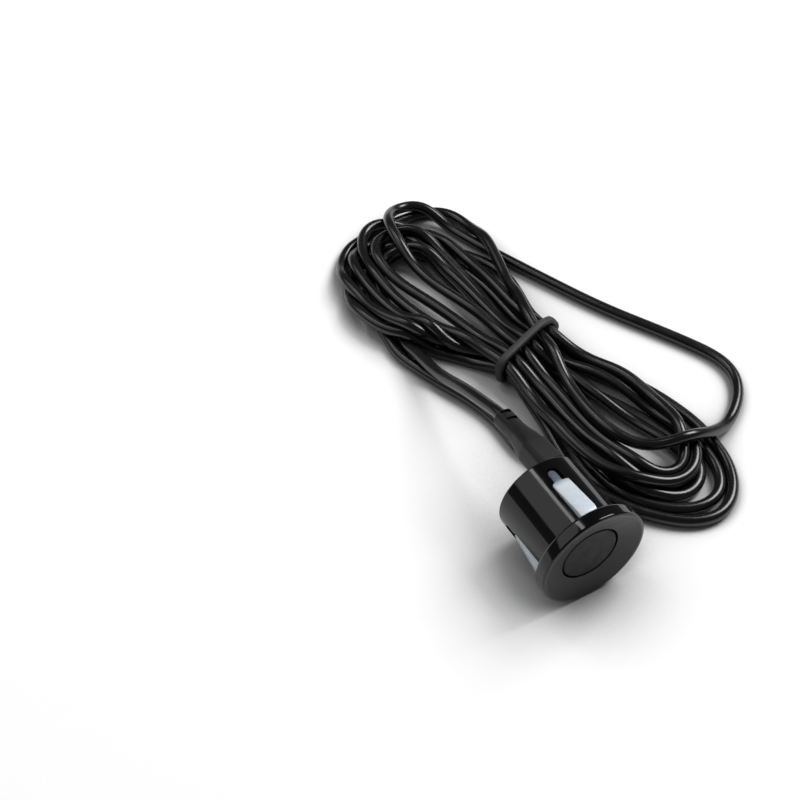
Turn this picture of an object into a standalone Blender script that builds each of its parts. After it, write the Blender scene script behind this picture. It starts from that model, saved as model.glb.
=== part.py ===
# Ultrasonic distance sensor: a press-in sensor head that lies on its side, the moulded boot that
# its cable leaves by, the hanked cable with its rubber tie, and the small plug on the cable's end.
# Sizes are in millimetres and become metres as each mesh is made. +Z is up, the sensing face looks
# along -Y and the floor is Z = 0. A depth is measured backwards from the flange's front lip.

import math

import bmesh
import bpy
from mathutils import Vector

MM = 0.001

# Outer shell
FLANGE_RADIUS = 13.0
FLANGE_THICKNESS = 3.4
LIP_WIDTH = 0.8
DISH_DEPTH = 1.5
BARREL_RADIUS = 10.3
SHELL_LENGTH = 21.2
SHELL_WALL = 1.2
FRONT_WALL = 2.3
REAR_SEAT_DEPTH = 2.1
REAR_SEAT_WALL = 0.8
FACE_BORE_ROUND = 0.15
LIP_INNER_ROUND = 0.3
LIP_OUTER_ROUND = 0.5
FLANGE_BACK_ROUND = 0.8
ROOT_ROUND = 0.4
REAR_ROUND = 0.6

# Clearances between nested pieces and round the sensing face, and how far a cutter runs past
FIT = 0.2
GROOVE = 0.4
PAST = 1.0

# Windows in the barrel and the wedge pads that stand in them
WINDOW_TURNS = (math.radians(2.3), math.radians(111.3), math.radians(-106.7))
PAD_WIDTH = 4.1
PAD_START = 3.9
PAD_FRONT_RISE = 1.2
PAD_REAR_RISE = 0.05
PAD_NOSE_DROP = 0.6
PAD_NOSE_LENGTH = 1.2
STEM_WIDTH = 1.8
STEM_ROOM = 0.55
STEM_LENGTH = 3.7
STEM_MARGIN = 2.9
STEM_SINK = 0.6
SLEEVE_WALL = 0.6

# Transducer
FACE_ROUND = 0.25
CUP_TO_REAR = 10.7
CUP_WALL = 0.7
CUP_FACE = 0.7
PIEZO_INSET = 1.8
PIEZO_THICKNESS = 0.4
GLUE_GAP = 0.15
FELT_CLEARANCE = 0.85
FELT_INSET = 0.3
ISOLATOR_WALL = 1.2
ISOLATOR_LIP = 1.6
CARRIER_LENGTH = 3.0
CARRIER_STANDOUT = 0.3
PIN_RADIUS = 0.35
PIN_SPACING = 5.0
PIN_INNER_REACH = 0.8
PIN_OUTER_REACH = 2.2
LEAD_RADIUS = 0.4
LEAD_SPACING = 1.05
LEAD_BEND_REACH = 1.9

# Rear cap and cable boot
CAP_RECESS = 0.1
BOOT_SIDE = 2.7
BOOT_DROP = 4.4
BOOT_TILT = math.radians(12)
BOOT_HALF_WIDTH = 3.25
BOOT_HALF_HEIGHT = 2.95
BOOT_BODY_LENGTH = 6.9
BOOT_TAPER_LENGTH = 6.1
BOOT_SAG = 1.2
COLLAR_RADIUS = 2.2
COLLAR_LENGTH = 5.6
COLLAR_SQUARENESS = 2.8
SLOT_COUNT = 2
SLOT_START = 1.7
SLOT_PITCH = 2.5
SLOT_LENGTH = 1.0
SLOT_WIDTH = 2.6
SLOT_DEPTH = 0.7
STUB_RADIUS = 2.0
STUB_REACH = 0.6

# Plug on the cable's end
PLUG_SIDE = 12.5
PLUG_START = 7.0
PLUG_WIDTH = 7.2
PLUG_HEIGHT = 5.2
PLUG_LENGTH = 21.3
RAIL_WIDTH = 0.8
RAIL_HEIGHT = 0.7
RAIL_INSET = 0.4
LATCH_WIDTH = 3.0
LATCH_START = 2.5
LATCH_LENGTH = 13.9
LATCH_ROOT = 2.1
LATCH_GAP = 0.5
LATCH_THICKNESS = 0.6
LATCH_THUMB = 0.5
LATCH_THUMB_LENGTH = 2.0
LATCH_RAMP = 0.5
CONTACT_PITCH = 3.4
CONTACT_HOLE = 1.5
CONTACT_HOLE_DEPTH = 14.0
CONTACT_SIZE = 1.1
CONTACT_SHEET = 0.25
CONTACT_SETBACK = 1.0
CONTACT_LENGTH = 10.0
WIRE_HEIGHT = 2.6
SEAL_POCKET_DEPTH = 4.2
SEAL_HALF_WIDTH = 2.6
SEAL_HALF_HEIGHT = 1.8
SEAL_NECK_RADIUS = 1.75
SEAL_SQUARENESS = 3.0
POCKET_SQUARENESS = 4.0
SEAL_STANDOUT = 1.7

# Cable, hank and tie; the routes start beyond the straight stretch at each exit
CABLE_RADIUS = 1.4
CABLE_STEP = 2.0
CABLE_GAP = 0.5
EXIT_REACH = 1.5
HANK_CENTRE = (27.1, 44.5)
HANK_TURN = math.radians(18.6)
HANK_SQUARENESS = 3.0
TIE_RADIUS = 0.95
FLOOR_GAP = 0.05
WAIST_HALF_WIDTH = 10.1
WAIST_HEIGHT = 5.7
WAIST_LENGTH = 3.8

# Each station of the hank's two ends: place along it, left side, right side, underside and top
HANK_NEAR_STATIONS = (
    (-64.8, -12.5, -7.5, 1.2, 3.6),
    (-63.6, -17.0, -3.0, 0.3, 5.4),
    (-60.0, -21.0, 0.0, 0.0, 7.0),
    (-54.0, -24.0, 3.2, 0.0, 8.0),
    (-46.0, -24.4, 6.0, 0.0, 8.6),
    (-37.0, -22.4, 8.2, 0.0, 8.6),
    (-26.0, -18.6, 9.8, 0.0, 8.4),
    (-13.0, -14.4, 9.9, 0.0, 8.6),
    (-4.0, -11.6, 10.2, 0.6, 8.6),
)
HANK_FAR_STATIONS = (
    (4.0, -11.8, 10.4, 0.6, 8.6),
    (12.0, -13.0, 12.6, 0.0, 9.4),
    (23.0, -14.2, 18.8, 0.0, 10.2),
    (34.0, -14.6, 25.0, 0.0, 10.4),
    (43.0, -16.0, 26.8, 0.0, 10.2),
    (49.5, -12.8, 22.6, 0.0, 9.6),
    (55.0, -6.0, 20.0, 0.0, 8.4),
    (57.6, 5.0, 18.0, 0.3, 6.6),
    (58.6, 10.5, 16.5, 1.2, 4.8),
)

# Routes of the cable where it isn't hanked: across, back, and height of the cable's underside
HEAD_END_ROUTE = (
    (2.7, 24.2, 15.1),
    (2.7, 28.2, 13.6),
    (2.7, 33.9, 11.4),
    (2.7, 38.7, 9.2),
    (2.7, 43.1, 7.0),
    (2.8, 48.5, 5.0),
    (3.0, 53.0, 3.7),
    (3.3, 57.5, 2.8),
    (3.6, 61.0, 2.4),
    (3.8, 63.0, 2.2),
)
PLUG_END_ROUTE = (
    (11.7, 14.5, 0.8),
    (10.3, 17.5, 0.2),
    (9.2, 20.5, FLOOR_GAP),
    (9.2, 24.5, FLOOR_GAP),
    (9.4, 28.5, FLOOR_GAP),
    (9.0, 33.0, FLOOR_GAP),
    (8.1, 37.3, FLOOR_GAP),
    (7.0, 41.0, FLOOR_GAP),
    (5.6, 44.6, FLOOR_GAP),
    (4.2, 48.3, FLOOR_GAP),
    (2.9, 52.0, FLOOR_GAP),
    (1.8, 56.0, FLOOR_GAP),
    (1.2, 60.0, FLOOR_GAP),
    (1.0, 64.0, FLOOR_GAP),
    (1.1, 67.8, FLOOR_GAP),
    (1.4, 70.1, FLOOR_GAP),
    (2.0, 72.3, FLOOR_GAP),
)
LOOSE_LOOP_ROUTE = (
    (47.8, 0.1, 3.0),
    (50.6, 0.7, 2.2),
    (53.6, 1.6, 1.2),
    (56.8, 2.9, 0.4),
    (59.8, 4.8, 0.1),
    (62.3, 7.2, FLOOR_GAP),
    (64.0, 10.1, FLOOR_GAP),
    (65.0, 13.5, FLOOR_GAP),
    (65.3, 17.5, FLOOR_GAP),
    (64.8, 22.0, FLOOR_GAP),
    (63.6, 26.2, FLOOR_GAP),
    (62.0, 30.1, FLOOR_GAP),
    (60.0, 34.5, FLOOR_GAP),
    (57.7, 39.1, FLOOR_GAP),
    (55.1, 44.3, FLOOR_GAP),
    (52.5, 49.7, FLOOR_GAP),
    (50.0, 54.9, FLOOR_GAP),
    (47.5, 60.1, FLOOR_GAP),
    (45.2, 65.7, FLOOR_GAP),
    (43.1, 71.5, FLOOR_GAP),
    (41.5, 76.2, FLOOR_GAP),
    (40.4, 79.5, FLOOR_GAP),
    (39.7, 81.5, FLOOR_GAP),
)

# Faceting
TURN_STEPS = 64
INNER_TURN_STEPS = 48
SMALL_TURN_STEPS = 24
ROUND_STEPS = 3
LOFT_STEPS = 28
SHARP_ANGLE = math.radians(35)

# Places that follow from the sizes above
SHELL_BORE = BARREL_RADIUS - SHELL_WALL
ISOLATOR_RADIUS = SHELL_BORE - FIT - SLEEVE_WALL - FIT
ISOLATOR_BORE = ISOLATOR_RADIUS - ISOLATOR_WALL
FACE_RADIUS = ISOLATOR_BORE - FIT
FACE_BORE = FACE_RADIUS + GROOVE
CAVITY_START = DISH_DEPTH + FRONT_WALL
CAP_SEAT = SHELL_LENGTH - REAR_SEAT_DEPTH
PAD_LENGTH = SHELL_LENGTH - PAD_START - STEM_LENGTH - STEM_MARGIN
CUP_END = SHELL_LENGTH - CUP_TO_REAR
CUP_BORE = FACE_RADIUS - CUP_WALL
ISOLATOR_END = CUP_END + FIT + ISOLATOR_LIP
CARRIER_RADIUS = CUP_BORE - FIT
CARRIER_END = ISOLATOR_END + CARRIER_STANDOUT
CARRIER_START = CARRIER_END - CARRIER_LENGTH
PIEZO_RADIUS = CUP_BORE - PIEZO_INSET
PIEZO_START = DISH_DEPTH + CUP_FACE + GLUE_GAP
FELT_START = PIEZO_START + PIEZO_THICKNESS + FIT
FELT_LENGTH = CARRIER_START - PIN_INNER_REACH - FELT_CLEARANCE - FELT_START
PIN_END = CARRIER_END + PIN_OUTER_REACH
STUB_START = CAP_SEAT + FIT - STUB_REACH
BOOT_START = SHELL_LENGTH + FIT
BODY_END = BOOT_START + BOOT_BODY_LENGTH
COLLAR_START = BODY_END + BOOT_TAPER_LENGTH
COLLAR_END = COLLAR_START + COLLAR_LENGTH
FRONT_Y = -COLLAR_END / 2
BOOT_RISE = BARREL_RADIUS - BOOT_DROP
WAIST_LOW = 2 * TIE_RADIUS + FIT + FLOOR_GAP
WAIST_HIGH = WAIST_LOW + WAIST_HEIGHT
HEAD_EXIT = (
    BOOT_SIDE,
    COLLAR_END / 2 + CABLE_GAP,
    FLANGE_RADIUS + BOOT_RISE - BOOT_SAG - CABLE_RADIUS,
)
PLUG_EXIT = (
    PLUG_SIDE,
    FRONT_Y + PLUG_START + PLUG_LENGTH + SEAL_STANDOUT + CABLE_GAP,
    WIRE_HEIGHT - CABLE_RADIUS,
)


def finish(name, colour, roughness, metallic=0.0):
    """A plain material in the colour that the photograph shows."""
    material = bpy.data.materials.new(name)
    material.use_nodes = True
    shader = material.node_tree.nodes["Principled BSDF"]
    shader.inputs["Base Color"].default_value = (*colour, 1.0)
    shader.inputs["Roughness"].default_value = roughness
    shader.inputs["Metallic"].default_value = metallic
    material.diffuse_color = (*colour, 1.0)
    return material


def filleted(corners):
    """A closed outline through (a, b, radius) corners, with an arc at each corner that has a radius."""
    points = []
    for index, (a, b, radius) in enumerate(corners):
        here = Vector((a, b))
        if not radius:
            points.append(here)
            continue
        back = (Vector(corners[index - 1][:2]) - here).normalized()
        ahead = (Vector(corners[(index + 1) % len(corners)][:2]) - here).normalized()
        half = back.angle(ahead) / 2
        centre = here + (back + ahead).normalized() * (radius / math.sin(half))
        start = here + back * (radius / math.tan(half)) - centre
        end = here + ahead * (radius / math.tan(half)) - centre
        sweep = start.angle_signed(end)
        for step in range(ROUND_STEPS + 1):
            turn = -sweep * step / ROUND_STEPS
            cos, sin = math.cos(turn), math.sin(turn)
            points.append(centre + Vector((start.x * cos - start.y * sin, start.x * sin + start.y * cos)))
    return points


def superellipse(half_width, half_height, squareness, count):
    """Points of an outline that runs from an ellipse (squareness 2) towards a rectangle."""
    points = []
    for step in range(count):
        turn = 2 * math.pi * step / count
        cos, sin = math.cos(turn), math.sin(turn)
        across = math.copysign(abs(cos) ** (2 / squareness), cos) * half_width
        up = math.copysign(abs(sin) ** (2 / squareness), sin) * half_height
        points.append((across, up))
    return points


def mesh_object(name, bm, material, parent=None):
    """Turns a bmesh in millimetres into a smooth-shaded object in metres."""
    bmesh.ops.recalc_face_normals(bm, faces=bm.faces)
    bmesh.ops.scale(bm, vec=(MM, MM, MM), verts=bm.verts)
    mesh = bpy.data.meshes.new(name)
    bm.to_mesh(mesh)
    bm.free()
    mesh.shade_smooth()
    mesh.set_sharp_from_angle(angle=SHARP_ANGLE)
    obj = bpy.data.objects.new(name, mesh)
    if material:
        obj.data.materials.append(material)
    obj.parent = parent
    bpy.context.scene.collection.objects.link(obj)
    return obj


def turned(name, corners, material, parent, steps=TURN_STEPS, centre=(0.0, 0.0)):
    """Turns a closed (radius, depth) outline about the local Z axis at the given centre."""
    bm = bmesh.new()
    verts = [bm.verts.new((p.x, 0.0, p.y)) for p in filleted(corners)]
    edges = [bm.edges.new(pair) for pair in zip(verts, verts[1:] + verts[:1])]
    bmesh.ops.spin(
        bm,
        geom=verts + edges,
        cent=(0, 0, 0),
        axis=(0, 0, 1),
        angle=2 * math.pi,
        steps=steps,
        use_merge=True,
    )
    bmesh.ops.remove_doubles(bm, verts=bm.verts, dist=1e-4)
    bmesh.ops.dissolve_degenerate(bm, edges=bm.edges, dist=1e-4)
    on_axis = [face for face in bm.faces if all(abs(v.co.x) + abs(v.co.y) < 1e-4 for v in face.verts)]
    bmesh.ops.delete(bm, geom=on_axis, context="FACES")
    loose = [edge for edge in bm.edges if not edge.link_faces]
    bmesh.ops.delete(bm, geom=loose, context="EDGES")
    bmesh.ops.translate(bm, vec=(*centre, 0), verts=bm.verts)
    return mesh_object(name, bm, material, parent)


def extruded(name, corners, low, high, place, material, parent):
    """Extrudes a filleted outline from low to high, with place(a, b, c) giving each local point."""
    outline = filleted(corners)
    bm = bmesh.new()
    rings = [[bm.verts.new(place(p.x, p.y, level)) for p in outline] for level in (low, high)]
    skin(bm, rings)
    return mesh_object(name, bm, material, parent)


def skin(bm, rings):
    """Joins rings of equal length into one closed body with flat ends."""
    for first, second in zip(rings, rings[1:]):
        for index in range(len(first)):
            after = (index + 1) % len(first)
            bm.faces.new((first[index], first[after], second[after], second[index]))
    bm.faces.new(rings[0])
    bm.faces.new(rings[-1])


def tube(name, points, radius, material, resolution=2, cyclic=False, parent=None):
    """A round cord through the points, as a curve with filled ends."""
    curve = bpy.data.curves.new(name, "CURVE")
    curve.dimensions = "3D"
    curve.bevel_depth = radius * MM
    curve.bevel_resolution = resolution
    curve.use_fill_caps = not cyclic
    spline = curve.splines.new("POLY")
    spline.points.add(len(points) - 1)
    for point, place in zip(spline.points, points):
        point.co = (*(value * MM for value in place), 1.0)
    spline.use_cyclic_u = cyclic
    curve.materials.append(material)
    obj = bpy.data.objects.new(name, curve)
    obj.parent = parent
    bpy.context.scene.collection.objects.link(obj)
    return obj


def boolean(obj, operation, other):
    """Adds a Boolean with a hidden operand."""
    modifier = obj.modifiers.new(other.name, "BOOLEAN")
    modifier.operation = operation
    modifier.object = other
    other.hide_render = True
    other.display_type = "WIRE"


def axis_frame(name, across, depth, height):
    """An empty whose local Z runs backwards along the part and whose local -Y is up."""
    empty = bpy.data.objects.new(name, None)
    empty.location = (across * MM, (FRONT_Y + depth) * MM, height * MM)
    empty.rotation_euler = (-math.pi / 2, 0, 0)
    bpy.context.scene.collection.objects.link(empty)
    return empty


def outwards(across, depth, radius):
    """Local point of the head from a place on its upper side."""
    return (across, -radius, depth)


def window_outline(clearance, stem_room):
    """The keyhole outline of a wedge pad, or of its window, which has room round the stem."""
    wide = PAD_WIDTH / 2 + clearance
    narrow = STEM_WIDTH / 2 + stem_room
    front = PAD_START - clearance
    shoulder = PAD_START + PAD_LENGTH + clearance
    end = shoulder + STEM_LENGTH
    round_end = narrow * 0.95
    return (
        (-wide, front, 0.7),
        (wide, front, 0.7),
        (wide, shoulder, 0.5),
        (narrow, shoulder, 0.3),
        (narrow, end, round_end),
        (-narrow, end, round_end),
        (-narrow, shoulder, 0.3),
        (-wide, shoulder, 0.5),
    )


def outer_shell(head, plastic):
    """Flange, dished face and barrel in one moulding, open at the rear and with three windows."""
    seat_radius = BARREL_RADIUS - REAR_SEAT_WALL
    shell = turned(
        "outer_shell",
        (
            (FACE_BORE, DISH_DEPTH, FACE_BORE_ROUND),
            (FLANGE_RADIUS - LIP_WIDTH, 0.0, LIP_INNER_ROUND),
            (FLANGE_RADIUS, 0.0, LIP_OUTER_ROUND),
            (FLANGE_RADIUS, FLANGE_THICKNESS, FLANGE_BACK_ROUND),
            (BARREL_RADIUS, FLANGE_THICKNESS, ROOT_ROUND),
            (BARREL_RADIUS, SHELL_LENGTH, REAR_ROUND),
            (seat_radius, SHELL_LENGTH, 0),
            (seat_radius, CAP_SEAT, 0),
            (SHELL_BORE, CAP_SEAT, 0),
            (SHELL_BORE, CAVITY_START, 0),
            (FACE_BORE, CAVITY_START, 0),
        ),
        plastic,
        head,
    )
    for index, turn in enumerate(WINDOW_TURNS):
        cutter = extruded(
            f"window_cutter_{index + 1}",
            window_outline(FIT, STEM_ROOM),
            SHELL_BORE - SHELL_WALL,
            FLANGE_RADIUS,
            outwards,
            None,
            head,
        )
        cutter.rotation_euler.z = turn
        boolean(shell, "DIFFERENCE", cutter)


def retaining_sleeve(head, rubber):
    """Thin sleeve with three wedge pads that stand in the windows, each with a free stem behind it."""
    inner = ISOLATOR_RADIUS + FIT
    outer = inner + SLEEVE_WALL
    start = CAVITY_START + FIT
    rear = PAD_START + PAD_LENGTH
    sleeve = turned(
        "retaining_sleeve",
        ((inner, start, 0), (outer, start, 0), (outer, rear, 0), (inner, rear, 0)),
        rubber,
        head,
    )
    high = BARREL_RADIUS + PAD_FRONT_RISE
    envelope = turned(
        "pad_envelope",
        (
            (inner, PAD_START - FIT, 0),
            (high - PAD_NOSE_DROP, PAD_START - FIT, 0),
            (high, PAD_START + PAD_NOSE_LENGTH, 0),
            (BARREL_RADIUS + PAD_REAR_RISE, rear, 0),
            (BARREL_RADIUS - STEM_SINK, rear, 0),
            (BARREL_RADIUS - STEM_SINK, rear + STEM_LENGTH + FIT, 0),
            (inner, rear + STEM_LENGTH + FIT, 0),
        ),
        None,
        head,
    )
    for index, turn in enumerate(WINDOW_TURNS):
        pad = extruded(
            f"wedge_pad_{index + 1}",
            window_outline(0.0, 0.0),
            (inner + outer) / 2,
            high + FIT,
            outwards,
            None,
            head,
        )
        pad.rotation_euler.z = turn
        boolean(pad, "INTERSECT", envelope)
        boolean(sleeve, "UNION", pad)


def transducer(head, materials):
    """The aluminium cup with its face, the piezo disc, the damping felt and the terminal carrier."""
    turned(
        "transducer_cup",
        (
            (0.0, DISH_DEPTH, 0),
            (FACE_RADIUS, DISH_DEPTH, FACE_ROUND),
            (FACE_RADIUS, CUP_END, 0),
            (CUP_BORE, CUP_END, 0),
            (CUP_BORE, DISH_DEPTH + CUP_FACE, 0),
            (0.0, DISH_DEPTH + CUP_FACE, 0),
        ),
        materials["face"],
        head,
    )
    disc("piezo_disc", PIEZO_RADIUS, PIEZO_START, PIEZO_THICKNESS, materials["ceramic"], head)
    disc("damping_felt", CARRIER_RADIUS - FELT_INSET, FELT_START, FELT_LENGTH, materials["felt"], head)
    carrier = disc(
        "terminal_carrier", CARRIER_RADIUS, CARRIER_START, CARRIER_LENGTH, materials["black"], head
    )
    for side, label in ((-1, "left"), (1, "right")):
        centre = (side * PIN_SPACING / 2, 0.0)
        hole = disc(
            f"pin_hole_{label}",
            PIN_RADIUS + GLUE_GAP,
            CARRIER_START - PAST,
            CARRIER_LENGTH + 2 * PAST,
            None,
            head,
            centre,
        )
        boolean(carrier, "DIFFERENCE", hole)
        disc(
            f"terminal_pin_{label}",
            PIN_RADIUS,
            CARRIER_START - PIN_INNER_REACH,
            CARRIER_LENGTH + PIN_INNER_REACH + PIN_OUTER_REACH,
            materials["tin"],
            head,
            centre,
        )


def disc(name, radius, start, length, material, head, centre=None):
    """A plain round piece; a centre places it off the axis, with fewer facets."""
    corners = ((0.0, start, 0), (radius, start, 0), (radius, start + length, 0), (0.0, start + length, 0))
    if centre:
        return turned(name, corners, material, head, SMALL_TURN_STEPS, centre)
    return turned(name, corners, material, head, INNER_TURN_STEPS)


def isolator_ring(head, silicone):
    """Soft ring that holds the cup off the shell and hooks over the cup's rear edge."""
    lip_bore = CARRIER_RADIUS + FIT
    start = CAVITY_START + FIT
    turned(
        "isolator_ring",
        (
            (ISOLATOR_BORE, start, 0),
            (ISOLATOR_RADIUS, start, 0.3),
            (ISOLATOR_RADIUS, ISOLATOR_END, 0.3),
            (lip_bore, ISOLATOR_END, 0),
            (lip_bore, CUP_END + FIT, 0),
            (ISOLATOR_BORE, CUP_END + FIT, 0),
        ),
        silicone,
        head,
        INNER_TURN_STEPS,
    )


def lead_wires(head, materials):
    """Two insulated wires from the pins to the inner end of the boot."""
    for side, label, colour in ((-1, "left", "red_wire"), (1, "right", "white_wire")):
        start = Vector((side * PIN_SPACING / 2, 0.0, PIN_END + FIT))
        end = Vector((BOOT_SIDE + side * LEAD_SPACING / 2, -BOOT_RISE, STUB_START - FIT))
        reach = Vector((0.0, 0.0, LEAD_BEND_REACH))
        points = bezier_points(start, start + reach, end - reach, end, 12)
        tube(f"lead_wire_{label}", points, LEAD_RADIUS, materials[colour], parent=head)


def bezier_points(first, second, third, fourth, steps):
    """Points along one cubic Bezier span."""
    points = []
    for step in range(steps + 1):
        t = step / steps
        s = 1 - t
        points.append(first * s**3 + second * 3 * s * s * t + third * 3 * s * t * t + fourth * t**3)
    return points


def rear_cap(head, plastic):
    """Disc that closes the barrel, with a hole for the boot's stub."""
    radius = BARREL_RADIUS - REAR_SEAT_WALL - FIT
    start = CAP_SEAT + FIT
    end = SHELL_LENGTH - CAP_RECESS
    cap = turned(
        "rear_cap",
        ((0.0, start, 0), (radius, start, 0), (radius, end, 0.25), (0.0, end, 0)),
        plastic,
        head,
    )
    middle = (BOOT_SIDE, -BOOT_RISE)
    hole = disc("stub_hole", STUB_RADIUS + FIT, start - PAST, end - start + 2 * PAST, None, head, middle)
    boolean(cap, "DIFFERENCE", hole)


def boot_sections():
    """(depth, half width, half height, squareness) of the boot from its inner stub to its collar."""
    edge = 0.25
    return (
        (STUB_START, STUB_RADIUS - edge, STUB_RADIUS - edge, 2.0),
        (STUB_START + edge, STUB_RADIUS, STUB_RADIUS, 2.0),
        (BOOT_START, STUB_RADIUS, STUB_RADIUS, 2.0),
        (BOOT_START, BOOT_HALF_WIDTH - edge, BOOT_HALF_HEIGHT - edge, 4.5),
        (BOOT_START + edge, BOOT_HALF_WIDTH, BOOT_HALF_HEIGHT, 5.0),
        (BODY_END - 2 * edge, BOOT_HALF_WIDTH, BOOT_HALF_HEIGHT, 5.0),
        (BODY_END + edge, BOOT_HALF_WIDTH - edge, BOOT_HALF_HEIGHT - edge, 4.5),
        (BODY_END + BOOT_TAPER_LENGTH * 0.31, BOOT_HALF_WIDTH * 0.86, BOOT_HALF_HEIGHT * 0.88, 4.0),
        (BODY_END + BOOT_TAPER_LENGTH * 0.61, BOOT_HALF_WIDTH * 0.75, BOOT_HALF_HEIGHT * 0.80, 3.4),
        (COLLAR_START, COLLAR_RADIUS, COLLAR_RADIUS, COLLAR_SQUARENESS),
        (COLLAR_END - edge, COLLAR_RADIUS, COLLAR_RADIUS, COLLAR_SQUARENESS),
        (COLLAR_END, COLLAR_RADIUS - edge, COLLAR_RADIUS - edge, COLLAR_SQUARENESS),
    )


def boot_point(across, depth, up):
    """Local point of the head from a place on the boot, which is tilted and sags towards its end."""
    cos, sin = math.cos(BOOT_TILT), math.sin(BOOT_TILT)
    reach = max(0.0, depth - BOOT_START) / (COLLAR_END - BOOT_START)
    x = BOOT_SIDE + across * cos + up * sin
    y = -BOOT_RISE + across * sin - up * cos + BOOT_SAG * reach * reach
    return (x, y, depth)


def cable_boot(head, vinyl):
    """Moulded strain relief: square body, taper, and a collar slotted on two sides so that it bends."""
    bm = bmesh.new()
    rings = []
    for depth, half_width, half_height, squareness in boot_sections():
        outline = superellipse(half_width, half_height, squareness, LOFT_STEPS)
        rings.append([bm.verts.new(boot_point(across, depth, up)) for across, up in outline])
    skin(bm, rings)
    boot = mesh_object("cable_boot", bm, vinyl, head)
    half = SLOT_WIDTH / 2
    for index in range(SLOT_COUNT):
        start = COLLAR_START + SLOT_START + index * SLOT_PITCH
        end = start + SLOT_LENGTH
        corners = ((-half, start, 0), (half, start, 0), (half, end, 0), (-half, end, 0))
        for side, name in ((1, "upper"), (-1, "lower")):
            cutter = extruded(
                f"{name}_slot_cutter_{index + 1}",
                corners,
                side * (COLLAR_RADIUS - SLOT_DEPTH),
                side * (COLLAR_RADIUS + PAST),
                boot_point,
                None,
                head,
            )
            boolean(boot, "DIFFERENCE", cutter)


def plug_point(across, up, depth):
    """Local point of the plug from a place on its section."""
    return (across, -up, depth)


def plug_side_point(depth, up, across):
    """Local point of the plug from a place on its side view."""
    return (across, -up, depth)


def plug_housing(plug, plastic):
    """Two-way plug body with guide rails, a latch arm, contact holes and a pocket for the seal."""
    half = PLUG_WIDTH / 2
    rail_out = half - RAIL_INSET
    rail_in = rail_out - RAIL_WIDTH
    rail_top = PLUG_HEIGHT + RAIL_HEIGHT
    housing = extruded(
        "plug_housing",
        (
            (-half, 0.0, 0.5),
            (half, 0.0, 0.5),
            (half, PLUG_HEIGHT, 0.3),
            (rail_out, PLUG_HEIGHT, 0),
            (rail_out, rail_top, 0.15),
            (rail_in, rail_top, 0.15),
            (rail_in, PLUG_HEIGHT, 0),
            (-rail_in, PLUG_HEIGHT, 0),
            (-rail_in, rail_top, 0.15),
            (-rail_out, rail_top, 0.15),
            (-rail_out, PLUG_HEIGHT, 0),
            (-half, PLUG_HEIGHT, 0.3),
        ),
        0.0,
        PLUG_LENGTH,
        plug_point,
        plastic,
        plug,
    )
    under = PLUG_HEIGHT + LATCH_GAP
    top = under + LATCH_THICKNESS
    end = LATCH_START + LATCH_LENGTH
    arm = extruded(
        "latch_arm",
        (
            (LATCH_START, PLUG_HEIGHT - FIT, 0),
            (LATCH_START, top, 0.4),
            (end - LATCH_THUMB_LENGTH, top, 0),
            (end - LATCH_THUMB_LENGTH + LATCH_RAMP, top + LATCH_THUMB, 0.15),
            (end, top + LATCH_THUMB, 0.3),
            (end, under, 0.2),
            (LATCH_START + LATCH_ROOT, under, 0.2),
            (LATCH_START + LATCH_ROOT, PLUG_HEIGHT - FIT, 0),
        ),
        -LATCH_WIDTH / 2,
        LATCH_WIDTH / 2,
        plug_side_point,
        None,
        plug,
    )
    boolean(housing, "UNION", arm)
    for side, label in ((-1, "left"), (1, "right")):
        hole = square_bar(
            f"contact_hole_{label}", side, CONTACT_HOLE, -PAST, CONTACT_HOLE_DEPTH, None, plug
        )
        boolean(housing, "DIFFERENCE", hole)
    pocket_size = (SEAL_HALF_WIDTH + FIT, SEAL_HALF_HEIGHT + FIT, POCKET_SQUARENESS)
    pocket = loft_on_wire(
        "seal_pocket",
        (
            (PLUG_LENGTH - SEAL_POCKET_DEPTH, *pocket_size),
            (PLUG_LENGTH + PAST, *pocket_size),
        ),
        None,
        plug,
    )
    boolean(housing, "DIFFERENCE", pocket)


def square_bar(name, side, size, start, end, material, plug):
    """A square bar along the plug at one of its two contacts."""
    centre = side * CONTACT_PITCH / 2
    half = size / 2
    corners = (
        (centre - half, WIRE_HEIGHT - half, 0),
        (centre + half, WIRE_HEIGHT - half, 0),
        (centre + half, WIRE_HEIGHT + half, 0),
        (centre - half, WIRE_HEIGHT + half, 0),
    )
    return extruded(name, corners, start, end, plug_point, material, plug)


def plug_contact(plug, side, label, metal):
    """A folded sheet contact, open along its top, in its hole."""
    centre = side * CONTACT_PITCH / 2
    out = CONTACT_SIZE / 2
    inner = out - CONTACT_SHEET
    low = WIRE_HEIGHT - out
    high = WIRE_HEIGHT + out
    corners = (
        (centre - out, low, 0),
        (centre + out, low, 0),
        (centre + out, high, 0),
        (centre + inner, high, 0),
        (centre + inner, low + CONTACT_SHEET, 0),
        (centre - inner, low + CONTACT_SHEET, 0),
        (centre - inner, high, 0),
        (centre - out, high, 0),
    )
    end = CONTACT_SETBACK + CONTACT_LENGTH
    extruded(f"plug_contact_{label}", corners, CONTACT_SETBACK, end, plug_point, metal, plug)


def loft_on_wire(name, sections, material, plug):
    """Skins (depth, half width, half height, squareness) sections centred on the plug's wire line."""
    bm = bmesh.new()
    rings = []
    for depth, half_width, half_height, squareness in sections:
        outline = superellipse(half_width, half_height, squareness, LOFT_STEPS)
        rings.append([bm.verts.new((across, -WIRE_HEIGHT - up, depth)) for across, up in outline])
    skin(bm, rings)
    return mesh_object(name, bm, material, plug)


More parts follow.
